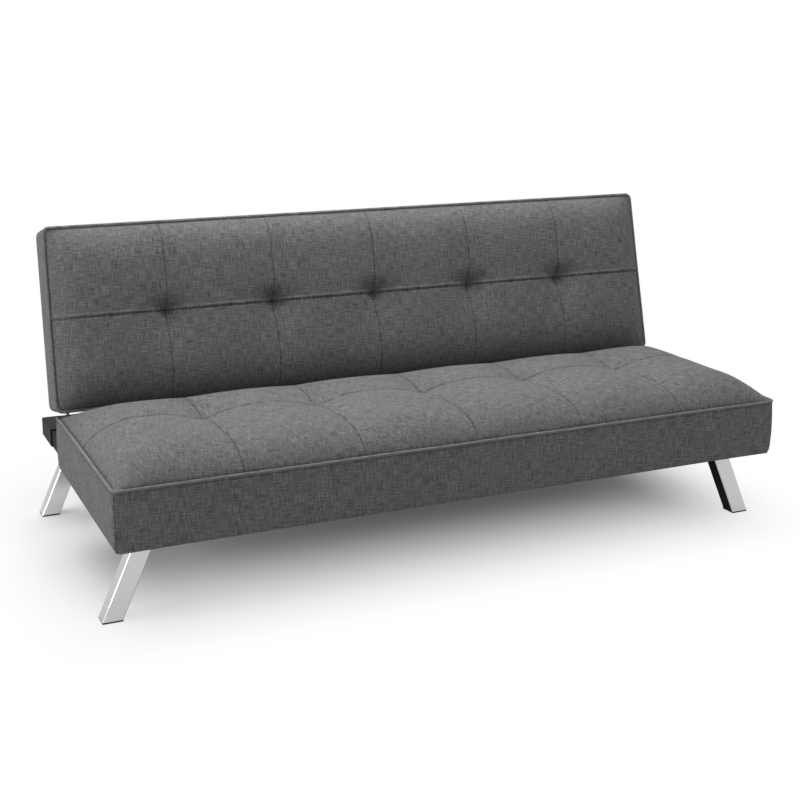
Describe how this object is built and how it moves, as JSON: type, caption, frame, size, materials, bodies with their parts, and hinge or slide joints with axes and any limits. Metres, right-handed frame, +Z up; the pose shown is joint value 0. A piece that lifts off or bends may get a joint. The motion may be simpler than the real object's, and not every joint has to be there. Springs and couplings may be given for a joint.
{
  "type": "fold-down sofa bed",
  "caption": "Armless upholstered sofa with a tufted seat and a back that reclines flat into a bed, on splayed square chrome legs.",
  "frame": {"origin": "centre of the footprint on the floor", "axes": "+X along the seat to the right seen from the front, +Y to the back, +Z up"},
  "size_m": [1.68, 0.85, 0.7582],
  "materials": {
    "fabric": "grey melange weave",
    "piping": "bias-cut cord of the same weave",
    "webbing": "elastic webbing",
    "dust_cloth": "black nonwoven",
    "chrome": "mirror chrome",
    "black_plastic": "moulded, satin",
    "black_steel": "black powder coat",
    "zinc_steel": "zinc plated"
  },
  "bodies": {
    "base": {"dust_cover": "dust_cloth", "front_cross_tube": "black_steel", "glide_front_left": "black_plastic", "glide_front_right": "black_plastic", "glide_rear_left": "black_plastic", "glide_rear_right": "black_plastic", "hinge_bracket_left": "zinc_steel", "hinge_bracket_right": "zinc_steel", "leg_front_left": "chrome", "leg_front_right": "chrome", "leg_plates": "black_steel", "leg_rear_left": "chrome", "leg_rear_right": "chrome", "middle_tube": "black_steel", "pawl_pin_left": "zinc_steel", "pawl_pin_right": "zinc_steel", "pawl_spring_left": "zinc_steel", "pawl_spring_right": "zinc_steel", "pivot_pin_left": "zinc_steel", "pivot_pin_right": "zinc_steel", "rail_cap_left": "black_plastic", "rail_cap_right": "black_plastic", "rear_cross_tube": "black_steel", "seat_border_front": "fabric", "seat_border_left": "fabric", "seat_border_rear": "fabric", "seat_border_right": "fabric", "seat_cross_tube": "black_steel", "seat_pad": "fabric", "seat_piping": "piping", "seat_webbing": "webbing", "side_rail_left": "black_steel", "side_rail_right": "black_steel"},
    "backrest": {"back_border_bottom": "fabric", "back_border_left": "fabric", "back_border_right": "fabric", "back_border_top": "fabric", "back_bottom_tube": "black_steel", "back_pad": "fabric", "back_panel": "fabric", "back_piping": "piping", "back_side_tube_left": "black_steel", "back_side_tube_right": "black_steel", "back_top_tube": "black_steel", "back_webbing": "webbing", "hinge_arm_left": "zinc_steel", "hinge_arm_right": "zinc_steel"},
    "pawl_left": {"pawl_left": "zinc_steel"},
    "pawl_right": {"pawl_right": "zinc_steel"}
  },
  "joints": [
    {"name": "backrest_hinge", "type": "hinge", "parent": "base", "child": "backrest", "pos_m": [0, 0.1888, 0.3007], "axis": [-1, 0, 0], "range_deg": [-5, 77]},
    {"name": "pawl_left_swing", "type": "hinge", "parent": "base", "child": "pawl_left", "pos_m": [-0.795, 0.1888, 0.2627], "axis": [-1, 0, 0], "range_deg": [-2, 16]},
    {"name": "pawl_right_swing", "type": "hinge", "parent": "base", "child": "pawl_right", "pos_m": [0.795, 0.1888, 0.2627], "axis": [-1, 0, 0], "range_deg": [-2, 16]}
  ],
  "couplings": [
    {"joint": "pawl_left_swing", "follows": "backrest_hinge", "ratio": 0.195},
    {"joint": "pawl_right_swing", "follows": "backrest_hinge", "ratio": 0.195}
  ]
}
